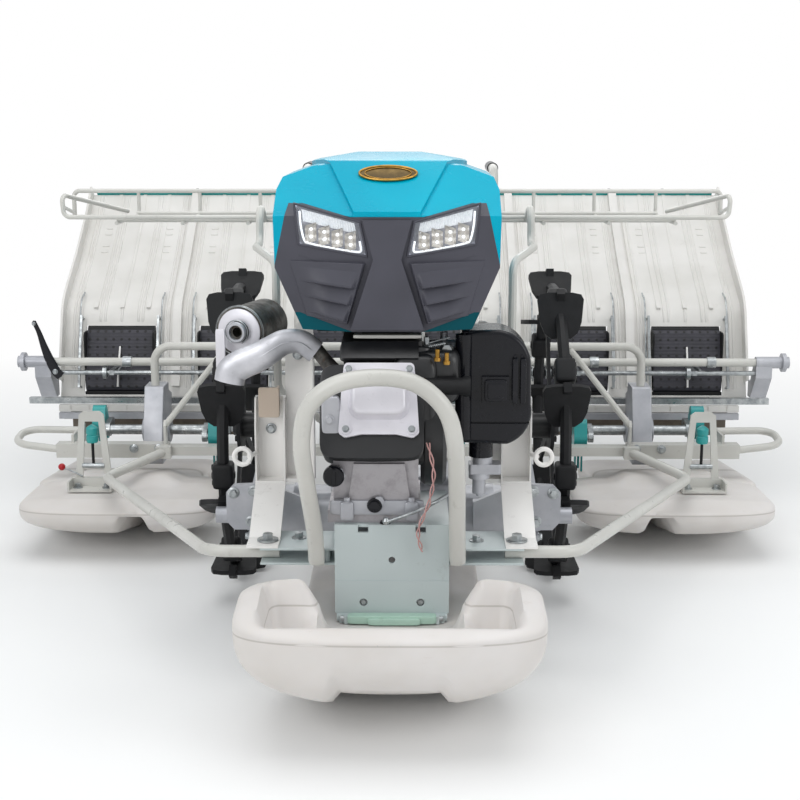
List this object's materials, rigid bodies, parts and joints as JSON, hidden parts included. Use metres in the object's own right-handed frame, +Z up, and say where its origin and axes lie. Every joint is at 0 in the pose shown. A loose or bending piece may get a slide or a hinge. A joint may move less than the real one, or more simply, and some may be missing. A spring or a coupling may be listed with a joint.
{
  "type": "walk-behind rice transplanter",
  "caption": "Walk-behind six-row rice transplanter with sliding seedling tray, lug wheels, floats, front engine under a hinged hood and crank planting arms.",
  "frame": {"origin": "on the ground at the middle of the machine's length and width", "axes": "-Y is the way the machine travels, +X its left side, +Z up"},
  "size_m": [1.98, 2.37, 0.9343],
  "materials": {
    "black_plastic": "black moulded plastic",
    "black_steel": "black enamel",
    "cast_aluminium": "die-cast aluminium",
    "flap_rubber": "brown-grey rubber",
    "float_plastic": "cream moulded plastic",
    "gold_foil": "matt gold",
    "grey_green_paint": "grey-green enamel",
    "grey_plastic": "dark grey moulded plastic",
    "hot_steel": "heat-stained steel",
    "ivory_paint": "ivory enamel",
    "ivory_plastic": "ivory moulded plastic",
    "lamp_lens": "clear lens",
    "rubber_black": "matte moulded rubber",
    "teal_dark": "dark teal moulded plastic",
    "teal_paint": "teal enamel",
    "teal_plastic": "teal gloss",
    "white_paint": "white enamel",
    "zinc_steel": "zinc-plated steel"
  },
  "bodies": {
    "chassis": {"air_cleaner": "black_plastic", "bumper_hoop": "ivory_paint", "carburettor": "cast_aluminium", "centre_float": "float_plastic", "console": "grey_plastic", "control_levers": "black_steel", "engine_block": "cast_aluminium", "engine_frame": "grey_green_paint", "engine_shroud": "black_steel", "exhaust_shroud": "cast_aluminium", "float_link": "grey_green_paint", "float_masts": "ivory_paint", "frame_hoop": "ivory_paint", "fuel_strainer": "cast_aluminium", "fuel_tank": "black_plastic", "gear_cases": "cast_aluminium", "guide_rail": "zinc_steel", "handle_frame": "ivory_paint", "handle_grips": "black_plastic", "hood_hinge": "black_steel", "hood_stays": "white_paint", "lower_rail": "cast_aluminium", "mat_rack": "ivory_paint", "mud_flaps": "flap_rubber", "muffler": "hot_steel", "muffler_plate": "cast_aluminium", "outrigger_plates": "grey_green_paint", "planting_beam": "ivory_paint", "planting_cases": "cast_aluminium", "rib_rail": "ivory_plastic", "side_float_left": "float_plastic", "side_float_right": "float_plastic", "side_guard_left": "ivory_paint", "side_guard_right": "ivory_paint", "swing_cases": "cast_aluminium", "tank_bracket": "black_steel", "transmission_case": "cast_aluminium", "valve_cover": "cast_aluminium", "wheel_axles": "zinc_steel"},
    "seedling_tray": {"feed_belts": "rubber_black", "feed_lever": "black_steel", "feed_shaft": "zinc_steel", "mat_rods": "zinc_steel", "tray_end_brackets": "cast_aluminium", "tray_panels": "ivory_plastic", "tray_top_strip": "teal_plastic", "tray_tube": "ivory_paint"},
    "hood": {"headlamps": "lamp_lens", "hood_badge": "gold_foil", "hood_fascia": "grey_plastic", "hood_shell": "teal_plastic", "hood_skirts": "teal_dark"},
    "inner_arms": {"planting_arms_inner": "teal_paint"},
    "outer_arms": {"planting_arms_outer": "teal_paint"},
    "planting_drive": {"planting_cranks": "zinc_steel"},
    "left_wheel": {"wheel_hub_left": "black_steel", "wheel_left": "rubber_black"},
    "right_wheel": {"wheel_hub_right": "black_steel", "wheel_right": "rubber_black"}
  },
  "joints": [
    {"name": "left_wheel_turn", "type": "hinge", "parent": "chassis", "child": "left_wheel", "pos_m": [0.336, -0.255, 0.34132], "axis": [1, 0, 0], "continuous": true},
    {"name": "right_wheel_turn", "type": "hinge", "parent": "chassis", "child": "right_wheel", "pos_m": [-0.336, -0.255, 0.34132], "axis": [1, 0, 0], "continuous": true},
    {"name": "tray_slide", "type": "slide", "parent": "chassis", "child": "seedling_tray", "axis": [1, 0, 0], "range_m": [-0.152, 0.128]},
    {"name": "hood_lift", "type": "hinge", "parent": "chassis", "child": "hood", "pos_m": [-0.008, -0.811, 0.642], "axis": [1, 0, 0], "range_deg": [0, 60]},
    {"name": "planting_drive_turn", "type": "hinge", "parent": "chassis", "child": "planting_drive", "pos_m": [0, 0.173, 0.232], "axis": [1, 0, 0], "continuous": true},
    {"name": "outer_arm_pins", "type": "hinge", "parent": "planting_drive", "child": "outer_arms", "pos_m": [0, 0.20777, 0.24132], "axis": [1, 0, 0], "continuous": true},
    {"name": "inner_arm_pins", "type": "hinge", "parent": "planting_drive", "child": "inner_arms", "pos_m": [0, 0.13823, 0.22268], "axis": [1, 0, 0], "continuous": true}
  ],
  "couplings": [
    {"joint": "outer_arm_pins", "follows": "planting_drive_turn", "ratio": -1},
    {"joint": "inner_arm_pins", "follows": "planting_drive_turn", "ratio": -1}
  ]
}
